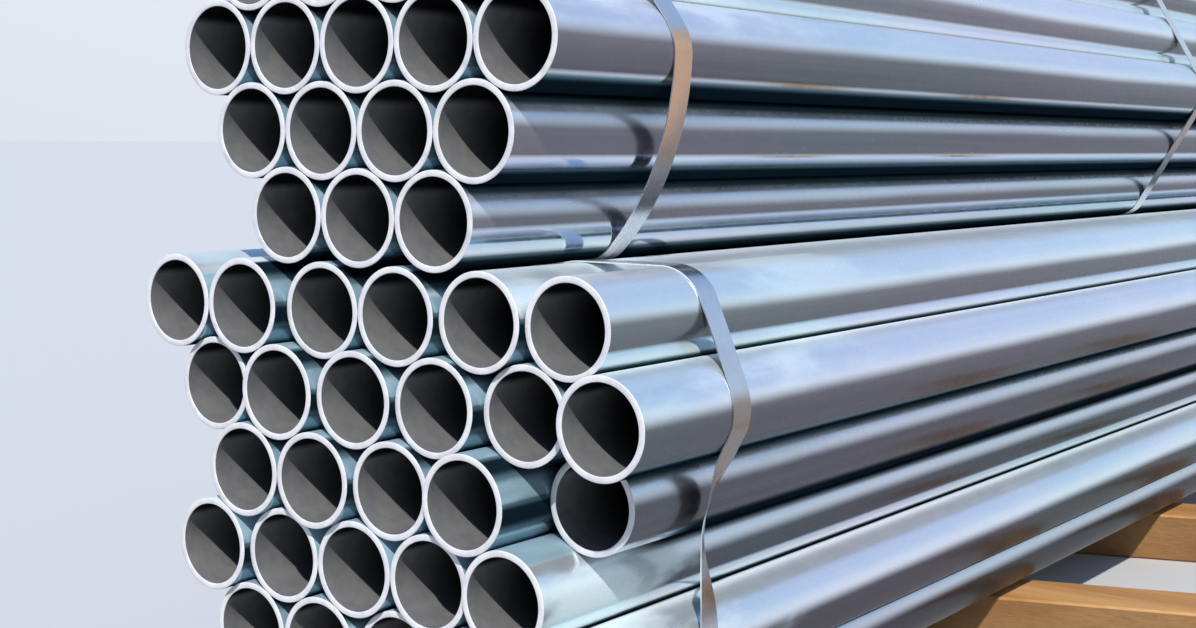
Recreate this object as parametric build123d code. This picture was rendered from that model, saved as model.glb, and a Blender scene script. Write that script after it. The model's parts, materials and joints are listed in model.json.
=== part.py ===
from build123d import *
from collections import namedtuple
from math import asin, atan2, cos, hypot, pi, radians, sin, sqrt, tan
import os

# A stack of round galvanised steel tubes: two strapped bundles, one nested on the other, on
# timber bearers. Millimetres. +Y runs along the tubes, from the ends that are seen to the far
# ones, +X runs across the rows and +Z is up. The origin is on the ground, under the middle.

# Tubes
tube_diameter = 60.3
tube_wall = 3.9
tube_length = 6000.0

# What lies against something else stands this far from it
contact_gap = 0.3

# The taut straps hold the upper bundle this far off the lower bundle's top row
nest_gap = 5.0

# Rows from the bottom up, each tube's place counted in half pitches from the left
lower_rows = (
    (3, 5, 7, 9),
    (2, 4, 6, 8, 10),
    (1, 3, 5, 7, 9),
    (2, 4, 6, 8, 10),
    (1, 3, 5, 7, 9, 11),
    (0, 2, 4, 6, 8, 10),
)
upper_rows = (
    (3, 5, 7),
    (2, 4, 6, 8),
    (1, 3, 5, 7, 9),
    (2, 4, 6, 8),
    (3, 5, 7),
)

# How far each front end stands back from the upper bundle's flush ends, in the same order
lower_setbacks = (
    (0, -5, 0, 5),
    (-5, -5, 0, -5, 0),
    (-10, -5, -5, -5, -10),
    (-10, -10, -5, -10, 35),
    (-5, -10, -5, 0, 10, 0),
    (-10, -10, 0, 0, 5, 10),
)

# Steel straps. The upper bundle has one near each end, one further in and one at the middle.
strap_width = 19.0
strap_thickness = 0.8
end_strap_inset = 125.0
inner_strap_inset = 1150.0

# The lower bundle has four. Its end straps lie outside the upper ones, with this room between.
strap_side_gap = 6.0
lower_strap_inset = 2050.0

# The two straps nearest the seen ends aren't quite square and taut. The upper one leans, with
# its underside further back, and bows out below the widest tube. The lower one is dented in.
loose_strap_lean = 13.5
loose_strap_bow = 10.0
loose_strap_dent = 13.0

# Crimped seals that close the straps: a folded sleeve over the lapped strap ends
seal_length = 32.0
seal_wall = 0.9
seal_fold = 7.0
seal_notch_width = 3.0
seal_notch_spacing = 13.0
strap_tail = 12.0

# Sawn timber bearers: the bundles lie askew across them
bearer_width = 75.0
bearer_height = 50.0
bearer_length = 1000.0
bearer_edge = 2.0
bearer_skew = 18.0
bearer_insets = (665.0, 1100.0)

# What follows from the sizes above
tube_radius = tube_diameter / 2
pitch = tube_diameter + contact_gap
row_rise = pitch * sqrt(3) / 2
nest_rise = sqrt((tube_diameter + nest_gap) ** 2 - (pitch / 2) ** 2)
lower_base = bearer_height + contact_gap + tube_radius
upper_base = lower_base + (len(lower_rows) - 1) * row_rise + nest_rise
row_middle = max(max(row) for row in lower_rows + upper_rows) / 2
front_ends = [0] + [setback for row in lower_setbacks for setback in row]
flush_front = -(min(front_ends) + max(front_ends) + tube_length) / 2

lower_right = (cos(radians(-15)), sin(radians(-15)))

Tube = namedtuple("Tube", "x z front")
Wheel = namedtuple("Wheel", "x z turn")
Strap = namedtuple("Strap", "place lean bow", defaults=(0, 0))


def both_ends(*insets):
    """Places along the tubes that lie equally far in from the front ends and the far ends."""
    return sorted([*insets, *(tube_length - inset for inset in insets)])


def row_of_tubes(places, level, setbacks):
    """The axis and front end of each tube in one row."""
    return [
        Tube((place - row_middle) * pitch / 2, level, flush_front + setback)
        for place, setback in zip(places, setbacks)
    ]


def along_tubes(face, start, length):
    """A face drawn in X and Z, extruded along +Y from start."""
    return extrude(Plane.XZ.offset(-start) * face, -length)


def tube_solid(tube):
    """One open tube with square-cut ends."""
    section = Circle(tube_radius) - Circle(tube_radius - tube_wall)
    return along_tubes(Pos(tube.x, tube.z) * section, tube.front, tube_length)


def hull(tubes):
    """The outermost tubes, anticlockwise from the left, with those on a straight run left out."""
    points = sorted((tube.x, tube.z) for tube in tubes)
    chains = []
    for ordered in (points, points[::-1]):
        chain = []
        for point in ordered:
            while len(chain) > 1 and turn_area(chain[-2], chain[-1], point) < contact_gap:
                chain.pop()
            chain.append(point)
        chains += chain[:-1]
    return [Wheel(x, z, 1) for x, z in chains]


def turn_area(first, second, third):
    """Twice the area of a triangle, positive where its corners turn anticlockwise."""
    ahead = (second[0] - first[0], second[1] - first[1])
    aside = (third[0] - first[0], third[1] - first[1])
    return ahead[0] * aside[1] - ahead[1] * aside[0]


def straight_runs(wheels, offset):
    """The taut band's straight runs, from each wheel to the next.

    The band's face lies offset outside the tubes that it binds. A wheel whose turn is -1 is a
    tube of the other bundle, which presses the band inwards from outside.
    """
    inside = tube_radius + contact_gap + offset
    outside = tube_radius + contact_gap + strap_thickness - offset
    reach = {1: inside, -1: -outside}
    runs = []
    for start, end in zip(wheels, wheels[1:] + wheels[:1]):
        across, up = end.x - start.x, end.z - start.z
        lean = asin((reach[end.turn] - reach[start.turn]) / hypot(across, up))
        heading = atan2(up, across) - lean
        normal = (-sin(heading), cos(heading))
        runs.append([
            (wheel.x - reach[wheel.turn] * normal[0], wheel.z - reach[wheel.turn] * normal[1])
            for wheel in (start, end)
        ])
    return runs


def bend(wheel, arrive, leave):
    """The band's arc round a wheel, between the runs that meet it."""
    start = atan2(arrive[1] - wheel.z, arrive[0] - wheel.x)
    end = atan2(leave[1] - wheel.z, leave[0] - wheel.x)
    sweep = wheel.turn * ((wheel.turn * (end - start)) % (2 * pi))
    radius = hypot(arrive[0] - wheel.x, arrive[1] - wheel.z)
    middle = start + sweep / 2
    through = (wheel.x + radius * cos(middle), wheel.z + radius * sin(middle))
    return ThreePointArc(arrive, through, leave)


def bowed_run(start, end, offset, bow):
    """A run's start, middle and end where it bows out between two tubes, or in below zero."""
    across, up = end.x - start.x, end.z - start.z
    half = hypot(across, up) / 2
    outward = (up / half / 2, -across / half / 2)
    swing = (bow**2 + half**2) / (2 * bow)
    centre_x = (start.x + end.x) / 2 - outward[0] * (swing - bow)
    centre_z = (start.z + end.z) / 2 - outward[1] * (swing - bow)
    reach = tube_radius + contact_gap + offset
    leave, arrive = [
        (x + reach * (x - centre_x) / swing, z + reach * (z - centre_z) / swing)
        for x, z in ((start.x, start.z), (end.x, end.z))
    ]
    middle = (centre_x + outward[0] * (swing + reach), centre_z + outward[1] * (swing + reach))
    return [leave, middle, arrive]


def band_outline(wheels, offset, bow):
    """The face inside a band, bounded by its runs and bends."""
    runs = straight_runs(wheels, offset)
    if bow:
        loose = longest_run(wheels, lower_right)
        start, end = wheels[loose], (wheels + wheels[:1])[loose + 1]
        runs[loose] = bowed_run(start, end, offset, bow)
    edges = []
    for index, wheel in enumerate(wheels):
        edges.append(bend(wheel, runs[index - 1][-1], runs[index][0]))
        edges.append((Line if len(runs[index]) == 2 else ThreePointArc)(*runs[index]))
    return make_face(edges)


def pressed_in(wheels, own_row, other_row, upwards):
    """The wheels with the facing rows of both bundles woven in, where they pinch the band."""
    flat_room = abs(other_row[0].z - own_row[0].z) - tube_diameter
    if flat_room >= strap_thickness + 2 * contact_gap:
        return wheels
    facing = [Wheel(tube.x, tube.z, -1) for tube in other_row]
    own = [Wheel(tube.x, tube.z, 1) for tube in own_row]
    left = min(wheel.x for wheel in own)
    right = max(wheel.x for wheel in own)
    pressing = [wheel for wheel in facing if left < wheel.x < right]
    near = [wheel for wheel in own if any(abs(wheel.x - other.x) < pitch for other in pressing)]
    corners = [wheel for wheel in own if wheel.x in (left, right)]
    woven = sorted(set(pressing + near + corners), key=lambda wheel: wheel.x, reverse=upwards)
    level = own_row[0].z
    start = next(index for index, wheel in enumerate(wheels) if wheel == woven[0])
    turned = wheels[start:] + wheels[:start]
    return woven + [wheel for wheel in turned if abs(wheel.z - level) > contact_gap]


def strap_solid(wheels, lap_run, lap_share, strap):
    """One strap round its bundle, with the lap of its two ends on one straight run."""
    outside = band_outline(wheels, strap_thickness, strap.bow)
    section = outside - band_outline(wheels, 0, strap.bow)
    lap = Rectangle(seal_length + 2 * strap_tail, strap_thickness)
    section += lap_place(wheels, lap_run, lap_share, strap_thickness * 1.5) * lap
    if not strap.lean:
        return along_tubes(section, strap.place - strap_width / 2, strap_width)
    size = section.bounding_box().size
    drift = size.Y * tan(radians(strap.lean))
    band = along_tubes(section, strap.place - strap_width / 2 - drift, strap_width + 2 * drift)
    slab = Box(2 * size.X, strap_width * cos(radians(strap.lean)), 4 * size.Y)
    return band & Pos(0, strap.place, widest_level(wheels)) * Rot(strap.lean, 0, 0) * slab


def widest_level(wheels):
    """The level of a bundle's outermost tube on the right, where a leaning strap is in place."""
    return max(wheels).z


def lap_place(wheels, lap_run, lap_share, height):
    """A place in X and Z on a straight run, height above the tubes' outer line, along the run."""
    start, end = straight_runs(wheels, height)[lap_run]
    turn = atan2(end[1] - start[1], end[0] - start[0]) * 180 / pi
    x = start[0] + lap_share * (end[0] - start[0])
    z = start[1] + lap_share * (end[1] - start[1])
    return Pos(x, z) * Rot(0, 0, turn)


def seal_solid(wheels, lap_run, lap_share, strap):
    """A sleeve folded round both layers of the strap's lap, notched where it is crimped."""
    room_width = strap_width + 2 * contact_gap
    room_height = 2 * strap_thickness + 2 * contact_gap
    side_cut = seal_wall + contact_gap
    sleeve = Box(seal_length, room_width + 2 * seal_wall, room_height + 2 * seal_wall)
    sleeve -= Box(seal_length, room_width, room_height)
    mouth = Box(seal_length, room_width - 2 * seal_fold, seal_wall)
    sleeve -= Pos(0, 0, -(room_height + seal_wall) / 2) * mouth
    notch = Box(seal_notch_width, side_cut, room_height + 2 * seal_wall)
    for along in (-seal_notch_spacing / 2, seal_notch_spacing / 2):
        for side in (-1, 1):
            sleeve -= Pos(along, side * (room_width + 2 * seal_wall - side_cut) / 2, 0) * notch
    lap = lap_place(wheels, lap_run, lap_share, strap_thickness)
    drift = (lap.position.Y - widest_level(wheels)) * tan(radians(strap.lean))
    middle = Plane.XZ.offset(-(strap.place - drift)).location
    upright = Rot(-90, 0, 0)
    return middle * lap * upright * sleeve


def bearer_solid(place):
    """One sawn timber under the stack, with its long edges eased."""
    timber = Box(bearer_length, bearer_width, bearer_height)
    timber = chamfer(timber.edges().filter_by(Axis.X), bearer_edge)
    return Pos(0, flush_front + place, bearer_height / 2) * Rot(0, 0, bearer_skew) * timber


def longest_run(wheels, facing):
    """Which straight run of a band is longest among those whose outer side faces one way."""
    lengths = []
    for start, end in straight_runs(wheels, 0):
        across, up = end[0] - start[0], end[1] - start[1]
        length = hypot(across, up)
        outward = (up * facing[0] - across * facing[1]) / length
        lengths.append(length if outward > 0.8 else 0)
    return lengths.index(max(lengths))


def write(name, *solids):
    """One sub-part's file."""
    shape = solids[0] if len(solids) == 1 else Compound(children=list(solids))
    export_step(shape, os.path.join("parts", name + ".step"))


def write_rows(name, rows):
    """One sub-part for each row of tubes."""
    for number, row in enumerate(rows, 1):
        write(f"{name}_row_{number}", *[tube_solid(tube) for tube in row])


def write_straps(name, wheels, insets, first, lap_run, lap_share):
    """The straps and their seals. The first strap has a lean and a bow of its own."""
    straps = [first, *(Strap(flush_front + inset) for inset in insets[1:])]
    for number, strap in enumerate(straps, 1):
        write(f"{name}_strap_{number}", strap_solid(wheels, lap_run, lap_share, strap))
        write(f"{name}_seal_{number}", seal_solid(wheels, lap_run, lap_share, strap))


lower = [
    row_of_tubes(places, lower_base + level * row_rise, setbacks)
    for level, (places, setbacks) in enumerate(zip(lower_rows, lower_setbacks))
]
upper = [
    row_of_tubes(places, upper_base + level * row_rise, [0] * len(places))
    for level, places in enumerate(upper_rows)
]
lower_band = pressed_in(hull(sum(lower, [])), lower[-1], upper[0], True)
upper_band = pressed_in(hull(sum(upper, [])), upper[0], lower[-1], False)

os.makedirs("parts", exist_ok=True)
write_rows("lower", lower)
write_rows("upper", upper)
upper_insets = sorted([*both_ends(end_strap_inset, inner_strap_inset), tube_length / 2])
lower_insets = both_ends(end_strap_inset - strap_width - strap_side_gap, lower_strap_inset)
upper_loose = Strap(flush_front + upper_insets[0], loose_strap_lean, loose_strap_bow)
lower_loose = Strap(flush_front + lower_insets[0], 0, -loose_strap_dent)
upper_lap = longest_run(upper_band, (0, 1))
lower_lap = longest_run(lower_band, (-1, 0))
write_straps("lower", lower_band, lower_insets, lower_loose, lower_lap, 0.5)
write_straps("upper", upper_band, upper_insets, upper_loose, upper_lap, 0.25)
for number, place in enumerate(both_ends(*bearer_insets), 1):
    write(f"bearer_{number}", bearer_solid(place))
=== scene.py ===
"""Looks of a stack of galvanised steel tubes: two strapped bundles on sawn timber bearers.

Metres, in the model's own frame: +Y along the tubes, away from the ends that face the camera,
+X across the rows to the right, +Z up, with the ground at zero.
"""
import itertools
import json
import math

import bmesh
import bpy
from mathutils import Matrix, Vector, noise


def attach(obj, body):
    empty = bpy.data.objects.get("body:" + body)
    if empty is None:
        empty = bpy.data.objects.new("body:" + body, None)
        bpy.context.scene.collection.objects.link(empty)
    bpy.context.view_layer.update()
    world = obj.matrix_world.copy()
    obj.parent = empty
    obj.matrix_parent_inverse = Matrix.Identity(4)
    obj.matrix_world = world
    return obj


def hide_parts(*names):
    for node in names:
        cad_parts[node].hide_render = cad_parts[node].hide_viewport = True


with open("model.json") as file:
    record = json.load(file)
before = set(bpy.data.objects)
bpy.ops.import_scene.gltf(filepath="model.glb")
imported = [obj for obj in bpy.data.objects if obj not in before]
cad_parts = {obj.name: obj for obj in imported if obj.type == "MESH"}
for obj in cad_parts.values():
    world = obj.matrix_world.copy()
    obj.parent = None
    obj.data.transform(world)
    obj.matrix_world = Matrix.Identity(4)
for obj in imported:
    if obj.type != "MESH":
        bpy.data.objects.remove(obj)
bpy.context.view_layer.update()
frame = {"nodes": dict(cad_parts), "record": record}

MM = 0.001

# Camera: the photograph is 1196 pixels wide
PHOTO_WIDTH = 1196
FOCAL_PIXELS = 1756.6
SENSOR = 36.0
CAMERA_FROM_CORNER = Vector((0.8908, -0.7745, 0.0530))
CAMERA_HEADING = 35.82
CAMERA_PITCH = -5.63
CAMERA_ROLL = 0.44

# Sun: the way that it shines, and its width in degrees
SUN_STRENGTH = 3.3
SUN_COLOUR = (1.0, 0.96, 0.90)
SUN_TOWARDS = Vector((-0.42, 0.53, -0.737))
SUN_WIDTH = 1.0

FLOOR_REACH = 150.0

# CAD meshes: corners this close are one, and faces that meet below this angle look smooth
SAME_CORNER = 0.01 * MM
SMOOTH_BELOW = 25.0

# Tube walls. Daylight in a bore fades out between the two depths of its rings
WALL_SEGMENTS = 72
EDGE_ROUND = 0.5 * MM
EDGE_STEPS = 2
BORE_RINGS = (30 * MM, 70 * MM)

# Where the first tube's own tone is drawn, and the step to where the next one's is
TONE_SEED = 7
TONE_STEP = 1.37

# How far apart the middles of two tubes may be, in radii, to hide or mirror each other and to touch
IN_SIGHT = 12.0
TOUCHING = 2.3

# How far round from where two tubes touch the painted shade starts, and where it is darkest, in
# degrees:
# in a groove that opens upwards, on the tube above one that opens downwards, and on the one below it
OPEN_GROOVE = (9, 2)
OVERHANG = (84, 64)
SHELTERED_TOP = (35, 12)

# The painted highlight: a bright band in a groove that opens upwards, in the same way
PAINTED_GLINT = (50, 15)

# The directions round a tube's normal in which it may see out between the others
OUTLOOK = [math.radians(turn) for turn in (-60, -40, -20, 0, 20, 40, 60)]

# Distances from the tubes' middle, where a look starts and where it is full: the frosted ends,
# those of the low rows, the ends that daylight reaches between the rows, and the lit rims
FROSTED_END = (2.55, 2.90)
LOW_FROSTED_END = (2.72, 2.90)
OPEN_END = (2.89, 2.94)
LIT_END = (2.955, 2.985)

# Heights, where a look starts and where it is full: the third row and those below it, and two
# bands, each with its foot and its top, for the tops of the third row and the black seam of painted
# shade on them
LOW_ROWS = (0.225, 0.190)
THIRD_ROW_TOPS = ((0.198, 0.200), (0.218, 0.216))
BLACK_SEAM = ((0.197, 0.202), (0.223, 0.217))

# Heights between which the shade of the ground on the tubes' flanks thins out
GROUND_SHADE = (0.08, 0.45)

# Heights on the straps, in the same way: the band of the upper ones' painted highlight at their foot,
# and below it where the lower ones turn darker brown, greyer, and bright again as painted reflection
BRIGHT_FOOT = ((0.355, 0.365), (0.408, 0.398))
DARKER_BROWN = (0.350, 0.340)
GREYER = (0.260, 0.200)
BRIGHT_AGAIN = (0.165, 0.145)

# The lower bundle's loose strap: the degrees that it turns edge-on, the shares of the way between
# its two tubes where it turns in and out, and how far it is steered sideways on top and at its foot
STRAP_CUTS = 30
TWIST = 28.0
TWIST_IN = (0.12, 0.34)
TWIST_OUT = (0.48, 0.88)
STEER_ON_TOP = 14.0 * MM
STEER_AT_FOOT = 18.2 * MM

# The strap's stretches that are steered, in a tube's radii: above the lower tube's middle for the
# foot, and to the right of the stack's middle for where the steering starts and is full
STEERED_FOOT = (3.2, 0.8)
STEERED_SIDE = (-1.0, 3.0)


def placed(name, data):
    """A new object in the scene."""
    piece = bpy.data.objects.new(name, data)
    bpy.context.scene.collection.objects.link(piece)
    return piece


def mark(mesh, name, values, domain="POINT"):
    """Gives a mesh one number for each of its points or faces."""
    mesh.attributes.new(name, "FLOAT", domain).data.foreach_set("value", values)


def eased(value, start, full):
    """0 on the near side of start, 1 past full, and smooth between them."""
    share = min(max((value - start) / (full - start), 0.0), 1.0)
    return share * share * (3 - 2 * share)


def rows(bundle):
    """The names of one bundle's rows of tubes, from the bottom up."""
    names = [name for name in frame["nodes"] if name.startswith(bundle + "_row_")]
    return sorted(names)


def islands(node):
    """The lowest and highest corners of a CAD node's separate solids, from left to right."""
    mesh = bmesh.new()
    mesh.from_mesh(frame["nodes"][node].data)
    bmesh.ops.remove_doubles(mesh, verts=mesh.verts, dist=SAME_CORNER)
    left = set(mesh.verts)
    found = []
    while left:
        waiting = [left.pop()]
        corners = []
        while waiting:
            vert = waiting.pop()
            corners.append(vert.co.copy())
            for edge in vert.link_edges:
                other = edge.other_vert(vert)
                if other in left:
                    left.remove(other)
                    waiting.append(other)
        low = Vector(min(corner[axis] for corner in corners) for axis in range(3))
        high = Vector(max(corner[axis] for corner in corners) for axis in range(3))
        found.append((low, high))
    mesh.free()
    return sorted(found, key=lambda box: box[0].x)


class Value:
    """A socket's value in a shader: sums and products of it add their Math nodes."""

    def __init__(self, finish, socket):
        self.finish = finish
        self.socket = socket

    def math(self, operation, *values):
        """This value first, with the other values, through one Math node."""
        feeds = dict(enumerate((self, *values)))
        return self.finish.node("ShaderNodeMath", {"operation": operation}, feeds)

    def __add__(self, other):
        return self.math("ADD", other)

    def __sub__(self, other):
        return self.math("SUBTRACT", other)

    def __rsub__(self, other):
        return self.math("MULTIPLY_ADD", -1.0, other)

    def __mul__(self, other):
        return self.math("MULTIPLY", other)

    __radd__ = __add__
    __rmul__ = __mul__

    def between(self, first, last, start=0.0, end=1.0):
        """start where this value is first, end where it is last, and smooth between them."""
        feeds = {"Value": self, "From Min": first, "From Max": last, "To Min": start, "To Max": end}
        settings = {"interpolation_type": "SMOOTHSTEP"}
        return self.finish.node("ShaderNodeMapRange", settings, feeds)

    def within(self, foot, top):
        """1 in a band whose foot and top each go from their outer to their inner value."""
        return self.between(*foot) * self.between(*top)


class Finish:
    """The nodes of one material, or of the studio's light."""

    def __init__(self, owner):
        self.owner = owner
        owner.use_nodes = True
        self.tree = owner.node_tree
        self.tree.nodes.clear()

    def node(self, kind, settings=None, feeds=None, output=0):
        """Adds a node, with its settings first and then its sockets' values or links."""
        made = self.tree.nodes.new(kind)
        for name, value in (settings or {}).items():
            if name == "stops":
                self.set_stops(made.color_ramp, value)
            else:
                setattr(made, name, value)
        for name, value in (feeds or {}).items():
            if isinstance(value, Value):
                self.tree.links.new(value.socket, made.inputs[name])
            else:
                made.inputs[name].default_value = value
        return Value(self, made.outputs[output])

    @staticmethod
    def set_stops(ramp, stops):
        """Gives a colour ramp its stops, as pairs of place and colour."""
        while len(ramp.elements) < len(stops):
            ramp.elements.new(1.0)
        for element, (place, colour) in zip(ramp.elements, stops):
            element.position = place
            element.color = (*colour, 1.0)

    def attribute(self, name):
        """One of the numbers that the mesh carries."""
        return self.node("ShaderNodeAttribute", {"attribute_name": name}, output="Fac")

    def place(self, scale=(1, 1, 1)):
        """Object coordinates in metres, scaled."""
        here = self.node("ShaderNodeTexCoord", output="Object")
        return self.node("ShaderNodeMapping", {}, {"Vector": here, "Scale": scale})

    def part(self, vector, axis):
        """One of a vector's three numbers."""
        return self.node("ShaderNodeSeparateXYZ", {}, {"Vector": vector}, axis)

    def facing(self, axis):
        """How far the surface faces along an axis, from -1 to 1."""
        return self.part(self.node("ShaderNodeNewGeometry", output="Normal"), axis)

    def noise(self, scale, detail=3.0, roughness=0.5, stretch=(1, 1, 1)):
        """Cloudy noise on the object, scale patches to the metre."""
        feeds = {"Vector": self.place(stretch), "Scale": scale}
        feeds.update({"Detail": detail, "Roughness": roughness})
        return self.node("ShaderNodeTexNoise", {}, feeds, "Fac")

    def mix(self, factor, first, second):
        """A colour from first to second."""
        feeds = {0: factor, 6: first, 7: second}
        return self.node("ShaderNodeMix", {"data_type": "RGBA"}, feeds, 2)

    def ramp(self, value, stops):
        """A colour that follows a value through stops."""
        return self.node("ShaderNodeValToRGB", {"stops": stops}, {"Fac": value})

    def bump(self, height, strength, distance, normal=None):
        """The surface's normal, raised and lowered by height."""
        feeds = {"Height": height, "Strength": strength, "Distance": distance}
        if normal is not None:
            feeds["Normal"] = normal
        return self.node("ShaderNodeBump", {}, feeds)

    def surface(self, **feeds):
        """The shader itself. Underscores in the names stand for spaces."""
        named = {name.replace("_", " "): value for name, value in feeds.items()}
        shader = self.node("ShaderNodeBsdfPrincipled", {}, named)
        out = self.tree.nodes.new("ShaderNodeOutputMaterial")
        self.tree.links.new(shader.socket, out.inputs["Surface"])
        return self.owner


def rgb(red, green, blue):
    """A colour as a node socket takes it."""
    return (red, green, blue, 1.0)


class Zinc(Finish):
    """The zinc on the tubes: the marks that their meshes carry, and the patterns over them."""

    def __init__(self):
        super().__init__(bpy.data.materials.new("galvanised_steel"))
        self.bore = self.attribute("bore")
        self.cut = self.attribute("cut")
        self.lift = self.attribute("lift")
        self.shut = self.attribute("shut")
        # Painted highlight: the bright band in grooves that open upwards
        self.glint = self.attribute("glint")
        self.mirrors = self.attribute("facing") * self.lift.between(0.25, 0.05)
        self.high = self.part(self.place(), "Z")
        self.from_middle = self.part(self.place(), "Y").math("ABSOLUTE")
        self.streaks = self.noise(110.0, detail=5.0, roughness=0.6, stretch=(1, 0.012, 1))
        self.mottle = self.noise(90.0, detail=3.0, roughness=0.6)
        self.spangle = self.crystals(110.0)
        self.at_end = self.from_middle.between(*LIT_END)
        self.low = self.high.between(*LOW_ROWS) * self.from_middle.between(*LOW_FROSTED_END)
        self.frost = self.frosting()
        # Painted shade beside tubes that touch, black where it is deepest
        self.groove, self.black_shade = self.groove_shading()
        # The bore's painted shade: its upper and right side
        self.shaded_side = (self.lift * 0.8 + self.attribute("right") * 0.6).between(-0.05, 0.25)

    def crystals(self, scale):
        """The faint spangle: a number for each crystal of the zinc."""
        cells = {"Vector": self.place(), "Scale": scale}
        colour = self.node("ShaderNodeTexVoronoi", {"feature": "F1"}, cells, "Color")
        return self.node("ShaderNodeSeparateColor", {}, {"Color": colour})

    def frosting(self):
        """Pale patches on top of the tubes, mostly near their ends."""
        near_end = self.from_middle.between(*FROSTED_END)
        frost = self.noise(15.0, detail=5.0, roughness=0.55, stretch=(1, 0.35, 1))
        frost = (frost + self.low * 0.04).between(0.47, 0.63)
        on_top = (self.lift + self.low * 0.7).between(0.0, 0.5)
        return frost * on_top * (near_end * (self.low * 0.3 + 0.45) + 0.08)

    def groove_shading(self):
        """Painted shade beside the tubes that touch, and black painted shade where it is darkest."""
        open_end = self.from_middle.between(*OPEN_END)
        groove = self.attribute("groove") * (1 - open_end * self.high.within(*THIRD_ROW_TOPS))
        seam = self.high.within(*BLACK_SEAM) * (1 - self.shut) * (1 - open_end)
        return groove, groove.between(0.4, 1.0).math("MAXIMUM", seam)

    def sides(self):
        """The outside: bright on top, painted reflection darkening the flanks, bluish and frosted,
        painted shade black in the gaps.
        """
        shade = self.attribute("tone") * 0.1 + (self.streaks - 0.5) * 0.9
        shade = shade + (self.spangle - 0.5) * 0.05 + (self.mottle - 0.5) * 0.1 + 0.5
        bright = self.mix(shade, rgb(0.68, 0.75, 0.82), rgb(0.94, 0.97, 1.0))
        # Painted highlight: whiter in grooves that open upwards
        bright = self.mix(self.glint, bright, rgb(0.97, 0.99, 0.98))
        # Painted reflection: the flanks' dark colour, darker low down as painted shade from the ground
        flank_reflection = self.mix(shade, rgb(0.11, 0.105, 0.11), rgb(0.27, 0.26, 0.27))
        flank_reflection = self.mix(self.high.between(*GROUND_SHADE, 0.85, 0.0), flank_reflection, rgb(0.035, 0.027, 0.022))
        drift = self.noise(16.0, detail=3.0, stretch=(1, 0.12, 1))
        flank = (self.lift + (drift - 0.5) * 0.2).between(0.34, 0.04) * (1 - self.mirrors)
        colour = self.mix(flank, bright, flank_reflection)
        colour = self.mix(self.frost, colour, rgb(0.80, 0.93, 0.93))
        hues = self.noise(7.0, detail=2.0, stretch=(1, 0.3, 1)).between(0.35, 0.65)
        hues = self.mix(hues, rgb(0.38, 0.64, 0.70), rgb(0.60, 0.55, 0.74))
        colour = self.mix((1 - flank * 0.6) * 0.25, colour, hues)
        # Painted shade on sides shut in between other tubes, painted lighter near the lit ends
        shut_in_shade = self.mix(self.at_end, rgb(0.13, 0.20, 0.25), rgb(0.31, 0.46, 0.55))
        colour = self.mix(self.shut, colour, shut_in_shade)
        # Painted shade in the grooves, black where it is deepest
        colour = self.mix(self.groove.between(0.0, 0.5), colour, rgb(0.10, 0.18, 0.22))
        return self.mix(self.black_shade, colour, rgb(0.006, 0.015, 0.023))

    def inside(self):
        """The bore: grey at the bottom of its mouth, and painted shade nearly black above, to the
        right and behind.
        """
        wall_grey = self.mix(self.mottle.between(0.3, 0.7), rgb(0.17, 0.175, 0.185), rgb(0.21, 0.21, 0.215))
        # Painted shade: the mouth's upper and right side nearly black
        mouth = self.mix(self.shaded_side, wall_grey, rgb(0.012, 0.012, 0.015))
        return self.mix(self.attribute("deep"), mouth, rgb(0.008, 0.008, 0.01))

    def ends(self):
        """The cut faces, whiter than the sides."""
        return self.mix(self.mottle.between(0.35, 0.65), rgb(0.78, 0.78, 0.83), rgb(0.90, 0.90, 0.93))

    def colour(self):
        """The sides, the bore and the cut faces, each where it belongs."""
        walls = self.mix(self.bore, self.sides(), self.inside())
        return self.mix(self.cut, walls, self.ends())

    def relief(self):
        """Long shallow waves, and a fine grain over them."""
        waves = self.noise(9.0, detail=2.0, stretch=(1, 0.25, 1))
        grain = self.noise(900.0, detail=2.0, stretch=(1, 0.15, 1))
        return self.bump(grain, 0.03, 0.05 * MM, self.bump(waves, 0.35, 2.0 * MM))

    def roughness(self):
        """Smoothest where a side mirrors its neighbour, roughest in the grooves' painted shade and the
        bore.
        """
        rough = (self.streaks - 0.5) * 0.12 + (self.spangle - 0.5) * 0.05 + 0.25 - self.mirrors * 0.12
        rough = rough + self.groove * 0.2 + self.black_shade * 0.5 + self.bore * 0.5 + self.cut * 0.2
        return rough + self.lift.between(0.7, 1.0) * 0.2

    def metal(self):
        """How far each place shines as metal: less at the ends, at the painted highlight, and in the
        black painted shade.
        """
        metal = self.mirrors * 0.3 + 0.7 - self.cut * 0.6 - self.shut * self.at_end * 0.4
        pale = (self.glint * 0.3 + self.frost * 0.5) * (self.lift + self.low * 0.5).between(-0.1, 0.3)
        metal = (metal - pale) * (1 - self.black_shade)
        return metal * (1 - self.bore) + self.bore * (self.shaded_side * 0.8 + 0.2)


def galvanised_steel():
    """Bright zinc on the tubes: faint spangle, lengthwise streaks, whiter cut ends, dull bores, with
    painted shade, highlights and reflections.
    """
    zinc = Zinc()
    looks = {"Base_Color": zinc.colour(), "Metallic": zinc.metal(), "Roughness": zinc.roughness()}
    return zinc.surface(**looks, Specular_IOR_Level=0.0, Normal=zinc.relief())


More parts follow.
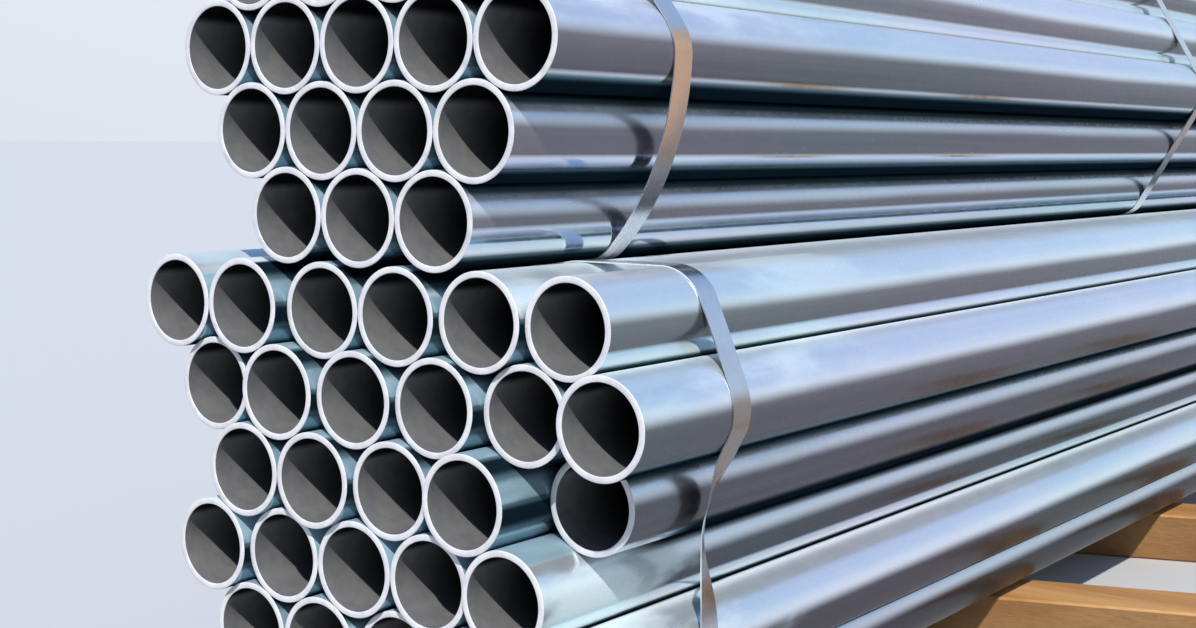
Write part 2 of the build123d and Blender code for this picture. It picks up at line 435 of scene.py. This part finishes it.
def strapping_steel():
    """Rolled strap with fine lines: bright on top and at its edges and tan to brown on its sides, as
    painted reflection, with painted shade underneath.
    """
    finish = Finish(bpy.data.materials.new("strapping_steel"))
    marks = finish.noise(70.0, detail=3.0)
    stains = finish.noise(9.0, detail=2.0)
    lines = finish.noise(500.0, detail=2.0, stretch=(0.1, 1, 0.1))
    upward = finish.facing("Z")
    endwise = finish.facing("Y").math("ABSOLUTE")
    high = finish.part(finish.place(), "Z")
    # Painted reflection: bright sky colour on the tops and edges, tan on the sides
    clear = finish.mix(marks, rgb(0.62, 0.64, 0.68), rgb(0.82, 0.85, 0.90))
    # Painted shade: darker where the strap faces down
    tan = finish.mix(upward.between(-0.35, -0.62), rgb(0.70, 0.43, 0.28), rgb(0.20, 0.18, 0.17))
    tan = finish.mix(high.between(*DARKER_BROWN, 0.0, 0.8), tan, rgb(0.30, 0.19, 0.12))
    tan = finish.mix(high.between(*GREYER), tan, rgb(0.30, 0.26, 0.24))
    tan = finish.mix(stains.between(0.4, 0.6, 0.0, 0.75), tan, rgb(0.30, 0.28, 0.27))
    colour = finish.mix(upward.between(0.55, 0.15) * endwise.between(0.9, 0.5), clear, tan)
    # Painted reflection: bright again low down
    colour = finish.mix(high.between(*BRIGHT_AGAIN), colour, rgb(0.62, 0.66, 0.71))
    # Painted highlight: the upper straps' white, less metallic foot
    foot = high.within(*BRIGHT_FOOT) * upward.between(0.2, 0.0)
    colour = finish.mix(foot, colour, rgb(0.95, 0.97, 1.0))
    rough = (lines - 0.5) * 0.2 + marks * 0.12 + 0.2
    normal = finish.bump(lines, 0.1, 0.1 * MM)
    return finish.surface(Base_Color=colour, Metallic=1.0 - foot * 0.7, Roughness=rough, Normal=normal)


def sawn_timber():
    """Sunlit orange softwood: grain and fibres along it, weathered patches, and sides darkened as
    painted shade.
    """
    finish = Finish(bpy.data.materials.new("sawn_timber"))
    grain = finish.noise(14.0, detail=6.0, roughness=0.6, stretch=(0.06, 1, 1))
    fibres = finish.noise(260.0, detail=4.0, stretch=(0.03, 1, 1))
    patches = finish.noise(5.0, detail=3.0)
    wood = finish.ramp(grain, [
        (0.3, (0.30, 0.12, 0.03)),
        (0.5, (0.53, 0.25, 0.078)),
        (0.7, (0.70, 0.385, 0.145)),
    ])
    colour = finish.mix(fibres.between(0.45, 0.75, 0.0, 0.5), wood, rgb(0.36, 0.17, 0.06))
    colour = finish.mix(patches.between(0.5, 0.8, 0.0, 0.35), colour, rgb(0.45, 0.33, 0.22))
    # Painted shade: the sides darker than the top
    upward = finish.facing("Z")
    colour = finish.mix(upward.between(0.7, 0.2, 0.0, 0.6), colour, rgb(0.17, 0.095, 0.04))
    rough = fibres * 0.2 + 0.65
    normal = finish.bump(fibres * 0.7 + grain * 0.5, 0.7, 1.5 * MM)
    return finish.surface(Base_Color=colour, Metallic=0.0, Roughness=rough, Normal=normal)


def wall_section(outer, bore, length):
    """The wall's section as points (radius, along), clockwise from the front."""
    turns = [step / EDGE_STEPS * math.pi / 2 for step in range(EDGE_STEPS + 1)]
    rounds = [(EDGE_ROUND * (1 - math.sin(turn)), EDGE_ROUND * (1 - math.cos(turn))) for turn in turns]
    points = [(outer - falling, rising) for falling, rising in rounds]
    points += [(outer - rising, length - falling) for falling, rising in rounds]
    points += [(bore + falling, length - rising) for falling, rising in rounds]
    points += [(bore, length - depth) for depth in BORE_RINGS]
    points += [(bore, depth) for depth in reversed(BORE_RINGS)]
    points += [(bore + rising, falling) for falling, rising in rounds]
    return points


def open_tube(outer, bore, length):
    """One tube with rounded edges, its front end at the origin, as the pattern for every other."""
    section = wall_section(outer, bore, length)
    count = len(section)
    verts = []
    lifts = []
    rights = []
    depths = []
    for segment in range(WALL_SEGMENTS):
        angle = math.tau * segment / WALL_SEGMENTS
        right = math.cos(angle)
        lift = math.sin(angle)
        verts += [(radius * right, along, radius * lift) for radius, along in section]
        rights += [right] * count
        lifts += [lift] * count
        depths += [eased(min(along, length - along), *BORE_RINGS) for radius, along in section]
    faces = []
    bores = []
    cuts = []
    corner = EDGE_STEPS + 1
    first_ring = 3 * corner - 1
    last_ring = 3 * corner + 2 * len(BORE_RINGS)
    for segment in range(WALL_SEGMENTS):
        here = segment * count
        there = (segment + 1) % WALL_SEGMENTS * count
        for step in range(count):
            after = (step + 1) % count
            faces.append((here + step, here + after, there + after, there + step))
            in_bore = first_ring <= step < last_ring
            bores.append(1.0 if in_bore else 0.0)
            cuts.append(0.0 if in_bore or step == corner - 1 else 1.0)
    mesh = bpy.data.meshes.new("open_tube")
    mesh.from_pydata(verts, [], faces)
    mark(mesh, "lift", lifts)
    mark(mesh, "right", rights)
    mark(mesh, "deep", depths)
    mark(mesh, "bore", bores, "FACE")
    mark(mesh, "cut", cuts, "FACE")
    mesh.polygons.foreach_set("use_smooth", [True] * len(mesh.polygons))
    mesh.update()
    return placed("open_tube", mesh)


def row_tree():
    """Geometry nodes that set a copy of the tube on each point of a row."""
    tree = bpy.data.node_groups.new("row_of_tubes", "GeometryNodeTree")
    tree.interface.new_socket("Geometry", in_out="INPUT", socket_type="NodeSocketGeometry")
    tree.interface.new_socket("Tube", in_out="INPUT", socket_type="NodeSocketObject")
    tree.interface.new_socket("Material", in_out="INPUT", socket_type="NodeSocketMaterial")
    tree.interface.new_socket("Geometry", in_out="OUTPUT", socket_type="NodeSocketGeometry")
    names = ("NodeGroupInput", "GeometryNodeObjectInfo", "GeometryNodeInstanceOnPoints",
             "GeometryNodeRealizeInstances", "GeometryNodeSetMaterial", "NodeGroupOutput")
    start, info, copies, real, paint, end = [tree.nodes.new(name) for name in names]
    tree.links.new(start.outputs["Tube"], info.inputs["Object"])
    tree.links.new(start.outputs["Geometry"], copies.inputs["Points"])
    tree.links.new(info.outputs["Geometry"], copies.inputs["Instance"])
    tree.links.new(copies.outputs["Instances"], real.inputs["Geometry"])
    tree.links.new(real.outputs["Geometry"], paint.inputs["Geometry"])
    tree.links.new(start.outputs["Material"], paint.inputs["Material"])
    tree.links.new(paint.outputs["Geometry"], end.inputs["Geometry"])
    return tree


def set_input(modifier, name, value):
    """Gives one of a geometry modifier's named inputs its value."""
    for item in modifier.node_group.interface.items_tree:
        if item.item_type == "SOCKET" and item.in_out == "INPUT" and item.name == name:
            modifier[item.identifier] = value


def baked(name, source):
    """A plain mesh object of what an object's modifiers make, in the place of that object."""
    graph = bpy.context.evaluated_depsgraph_get()
    mesh = bpy.data.meshes.new_from_object(source.evaluated_get(graph))
    source.modifiers.clear()
    piece = placed(name, mesh)
    bpy.data.objects.remove(source)
    return piece


def tube_tone(number):
    """How light or dark one of the tubes is, from -1 to 1."""
    return noise.cell(Vector((TONE_SEED + number * TONE_STEP, 0.5, 0.5))) * 2 - 1


def is_blocked(point, angle, tubes, radius):
    """Whether another tube lies in one direction from a point of the rows' section."""
    towards = Vector((math.cos(angle), math.sin(angle)))
    for centre in tubes:
        side = centre - point
        along = side.dot(towards)
        if along > 0.0 and side.length_squared - along * along < radius * radius:
            return True
    return False


def beside_contact(angle, contact):
    """The painted shade and painted highlight at an angle round a tube that another tube touches at
    contact.
    """
    apart = math.remainder(angle - contact, math.tau)
    away = math.degrees(abs(apart))
    if math.cos(contact) * apart >= 0.0:
        return eased(away, *OPEN_GROOVE), eased(away, *PAINTED_GLINT)
    reach = OVERHANG if math.sin(contact) < 0.0 else SHELTERED_TOP
    return eased(away, *reach), 0.0


def marks_round(centre, tubes, radius):
    """One tube's marks, segment by segment: it mirrors a tube, is shut in, has painted shade, or has a
    painted highlight.
    """
    others = [other for other in tubes if 0 < (other - centre).length < IN_SIGHT * radius]
    touching = [other - centre for other in others if (other - centre).length < TOUCHING * radius]
    contacts = [math.atan2(side.y, side.x) for side in touching]
    marks = []
    for segment in range(WALL_SEGMENTS):
        angle = math.tau * segment / WALL_SEGMENTS
        point = centre + radius * Vector((math.cos(angle), math.sin(angle)))
        mirrored = 2 * angle if math.cos(angle) > 0 else 2 * angle - math.pi
        facing = is_blocked(point, mirrored, others, radius)
        shut = all(is_blocked(point, angle + turn, others, radius) for turn in OUTLOOK)
        shares = [beside_contact(angle, contact) for contact in contacts] or [(0.0, 0.0)]
        groove, glint = [max(values) for values in zip(*shares)]
        marks.append((float(facing), float(shut), groove, 0.0 if shut else glint))
    return marks


def add_shading(mesh, centres, tubes, radius):
    """Gives a row's mesh the marks that its tubes' neighbours leave on them, painted shade and painted
    highlights among them.
    """
    rings = [marks_round(centre, tubes, radius) for centre in centres]
    marks = []
    for vert in mesh.vertices:
        point = vert.co.xz
        nearest = min(range(len(centres)), key=lambda number: (centres[number] - point).length)
        side = point - centres[nearest]
        segment = round(math.atan2(side.y, side.x) / math.tau * WALL_SEGMENTS) % WALL_SEGMENTS
        marks.append(rings[nearest][segment])
    for name, values in zip(("facing", "shut", "groove", "glint"), zip(*marks)):
        mark(mesh, name, values)


def dress_rows(material):
    """Replaces each row of CAD tubes with finely round ones."""
    mounts = frame["record"]["mounts"]
    bore = next(mount["dims"]["r_mm"] for mount in mounts if mount["kind"] == "bore") * MM
    boxes = {name: islands(name) for name in rows("lower") + rows("upper")}
    centres = {name: [((low + high) / 2).xz for low, high in tubes] for name, tubes in boxes.items()}
    everywhere = sum(centres.values(), [])
    low, high = boxes["lower_row_1"][0]
    radius = (high.x - low.x) / 2
    tube = open_tube(radius, bore, high.y - low.y)
    tree = row_tree()
    numbers = itertools.count()
    for name, tubes in boxes.items():
        fronts = [((low.x + high.x) / 2, low.y, (low.z + high.z) / 2) for low, high in tubes]
        points = bpy.data.meshes.new(name)
        points.from_pydata(fronts, [], [])
        mark(points, "tone", [tube_tone(next(numbers)) for front in fronts])
        source = placed(name + "_points", points)
        modifier = source.modifiers.new("row", "NODES")
        modifier.node_group = tree
        set_input(modifier, "Tube", tube)
        set_input(modifier, "Material", material)
        piece = baked(name.replace("row", "tubes"), source)
        add_shading(piece.data, centres[name], everywhere, radius)
        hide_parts(name)
        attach(piece, "root")
    bpy.data.objects.remove(tube)


def smooth_copy(node, name, material):
    """A merged copy of a CAD node, smooth where it curves, which stands for it."""
    mesh = frame["nodes"][node].data.copy()
    edit = bmesh.new()
    edit.from_mesh(mesh)
    bmesh.ops.remove_doubles(edit, verts=edit.verts, dist=SAME_CORNER)
    for face in edit.faces:
        face.smooth = True
    for edge in edit.edges:
        edge.smooth = edge.calc_face_angle(math.pi) < math.radians(SMOOTH_BELOW)
    edit.to_mesh(mesh)
    edit.free()
    mesh.materials.clear()
    mesh.materials.append(material)
    piece = placed(name, mesh)
    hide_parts(node)
    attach(piece, "root")
    return piece


def twist_near_strap(piece):
    """The lower bundle's loose strap: edge-on below the widest row, and steered sideways."""
    upper = islands("lower_row_5")[-1]
    lower = islands("lower_row_2")[-1]
    start, end = [(low + high) / 2 for low, high in (upper, lower)]
    start.y = end.y = 0.0
    along = (end - start).normalized()
    outward = Vector((-along.z, 0.0, along.x))
    radius = (upper[1].z - upper[0].z) / 2
    foot = [end.z + share * radius for share in STEERED_FOOT]
    side = [share * radius for share in STEERED_SIDE]
    edit = bmesh.new()
    edit.from_mesh(piece.data)
    for step in range(STRAP_CUTS):
        point = start.lerp(end, (step + 0.5) / STRAP_CUTS)
        everything = list(edit.verts) + list(edit.edges) + list(edit.faces)
        bmesh.ops.bisect_plane(edit, geom=everything, plane_co=point, plane_no=along)
    middle = sum(vert.co.y for vert in edit.verts) / len(edit.verts)
    for vert in edit.verts:
        across = vert.co.y - middle
        away = vert.co - start
        share = away.dot(along) / (end - start).length
        if 0.0 < share < 1.0 and away.dot(outward) > radius / 3:
            turn = math.radians(TWIST) * eased(share, *TWIST_IN) * (1 - eased(share, *TWIST_OUT))
            vert.co -= outward * across * math.sin(turn)
            vert.co.y += across * (math.cos(turn) - 1)
        on_top = STEER_ON_TOP * eased(vert.co.z, start.z, start.z + 2 * radius)
        at_foot = STEER_AT_FOOT * eased(vert.co.z, *foot)
        vert.co.y += (on_top + at_foot) * eased(vert.co.x, *side)
    edit.to_mesh(piece.data)
    edit.free()


def dress_straps(material):
    """Smooth straps and seals."""
    for node in list(frame["nodes"]):
        if "_strap_" in node:
            piece = smooth_copy(node, node.replace("strap", "band"), material)
            if node == "lower_strap_1":
                twist_near_strap(piece)
        if "_seal_" in node:
            smooth_copy(node, node.replace("seal", "clip"), material)


def dress_bearers(material):
    """Sawn timber on the bearers."""
    for node in frame["nodes"]:
        if node.startswith("bearer_"):
            smooth_copy(node, node.replace("bearer", "timber"), material)


def floor():
    """A plain pale floor out to the horizon, which throws back less light than it seems to."""
    finish = Finish(bpy.data.materials.new("pale_floor"))
    rays = ("Is Camera Ray", "Is Glossy Ray", "Is Transmission Ray")
    seen, mirrored, through = [finish.node("ShaderNodeLightPath", output=ray) for ray in rays]
    colour = finish.mix(seen + mirrored + through, rgb(0.40, 0.385, 0.37), rgb(0.66, 0.655, 0.65))
    mesh = bpy.data.meshes.new("floor")
    corners = [(-1, -1), (1, -1), (1, 1), (-1, 1)]
    verts = [(x * FLOOR_REACH, y * FLOOR_REACH, 0) for x, y in corners]
    mesh.from_pydata(verts, [], [(0, 1, 2, 3)])
    mesh.materials.append(finish.surface(Base_Color=colour, Roughness=0.9, Specular_IOR_Level=0.1))
    piece = placed("floor", mesh)


def sky():
    """Soft light from all round: nearly white above the horizon, blue overhead, weaker in front."""
    world = bpy.data.worlds.new("studio")
    bpy.context.scene.world = world
    finish = Finish(world)
    towards = finish.node("ShaderNodeTexCoord", output="Generated")
    colour = finish.ramp(finish.part(towards, "Z"), [
        (0.0, (0.80, 0.84, 0.90)),
        (0.15, (0.84, 0.91, 1.0)),
        (0.28, (0.74, 0.86, 1.0)),
        (0.45, (0.42, 0.60, 0.90)),
        (0.7, (0.30, 0.48, 0.82)),
        (1.0, (0.25, 0.42, 0.75)),
    ])
    strength = finish.part(towards, "Y").between(-0.8, 0.8, 0.5, 0.95)
    light = finish.node("ShaderNodeBackground", {}, {"Color": colour, "Strength": strength})
    out = finish.tree.nodes.new("ShaderNodeOutputWorld")
    finish.tree.links.new(light.socket, out.inputs["Surface"])


def sun():
    """A key light from the right, above and in front."""
    data = bpy.data.lights.new("key", "SUN")
    data.energy = SUN_STRENGTH
    data.color = SUN_COLOUR
    data.angle = math.radians(SUN_WIDTH)
    light = placed("key", data)
    light.rotation_mode = "QUATERNION"
    light.rotation_quaternion = SUN_TOWARDS.to_track_quat("-Z", "Y")


def camera():
    """The photograph's view: from the right of the open ends and a little above them."""
    data = bpy.data.cameras.new("camera")
    data.sensor_width = SENSOR
    data.lens = FOCAL_PIXELS * SENSOR / PHOTO_WIDTH
    piece = placed("camera", data)
    lower = islands(rows("lower")[-1])
    upper = islands(rows("upper")[0])
    first, second = [(low + high) / 2 for low, high in lower[:2]]
    rise = (second - first).x * math.sqrt(3) / 2
    corner = Vector((first.x, upper[0][0].y, first.z + rise))
    turn = Matrix.Rotation(math.radians(CAMERA_HEADING), 4, "Z")
    turn = turn @ Matrix.Rotation(math.radians(90 + CAMERA_PITCH), 4, "X")
    turn = turn @ Matrix.Rotation(math.radians(CAMERA_ROLL), 4, "Z")
    piece.matrix_world = Matrix.Translation(corner + CAMERA_FROM_CORNER) @ turn
    bpy.context.scene.camera = piece


bpy.context.scene.view_settings.view_transform = "Standard"
camera()
sky()
sun()
floor()
dress_rows(galvanised_steel())
dress_straps(strapping_steel())
dress_bearers(sawn_timber())
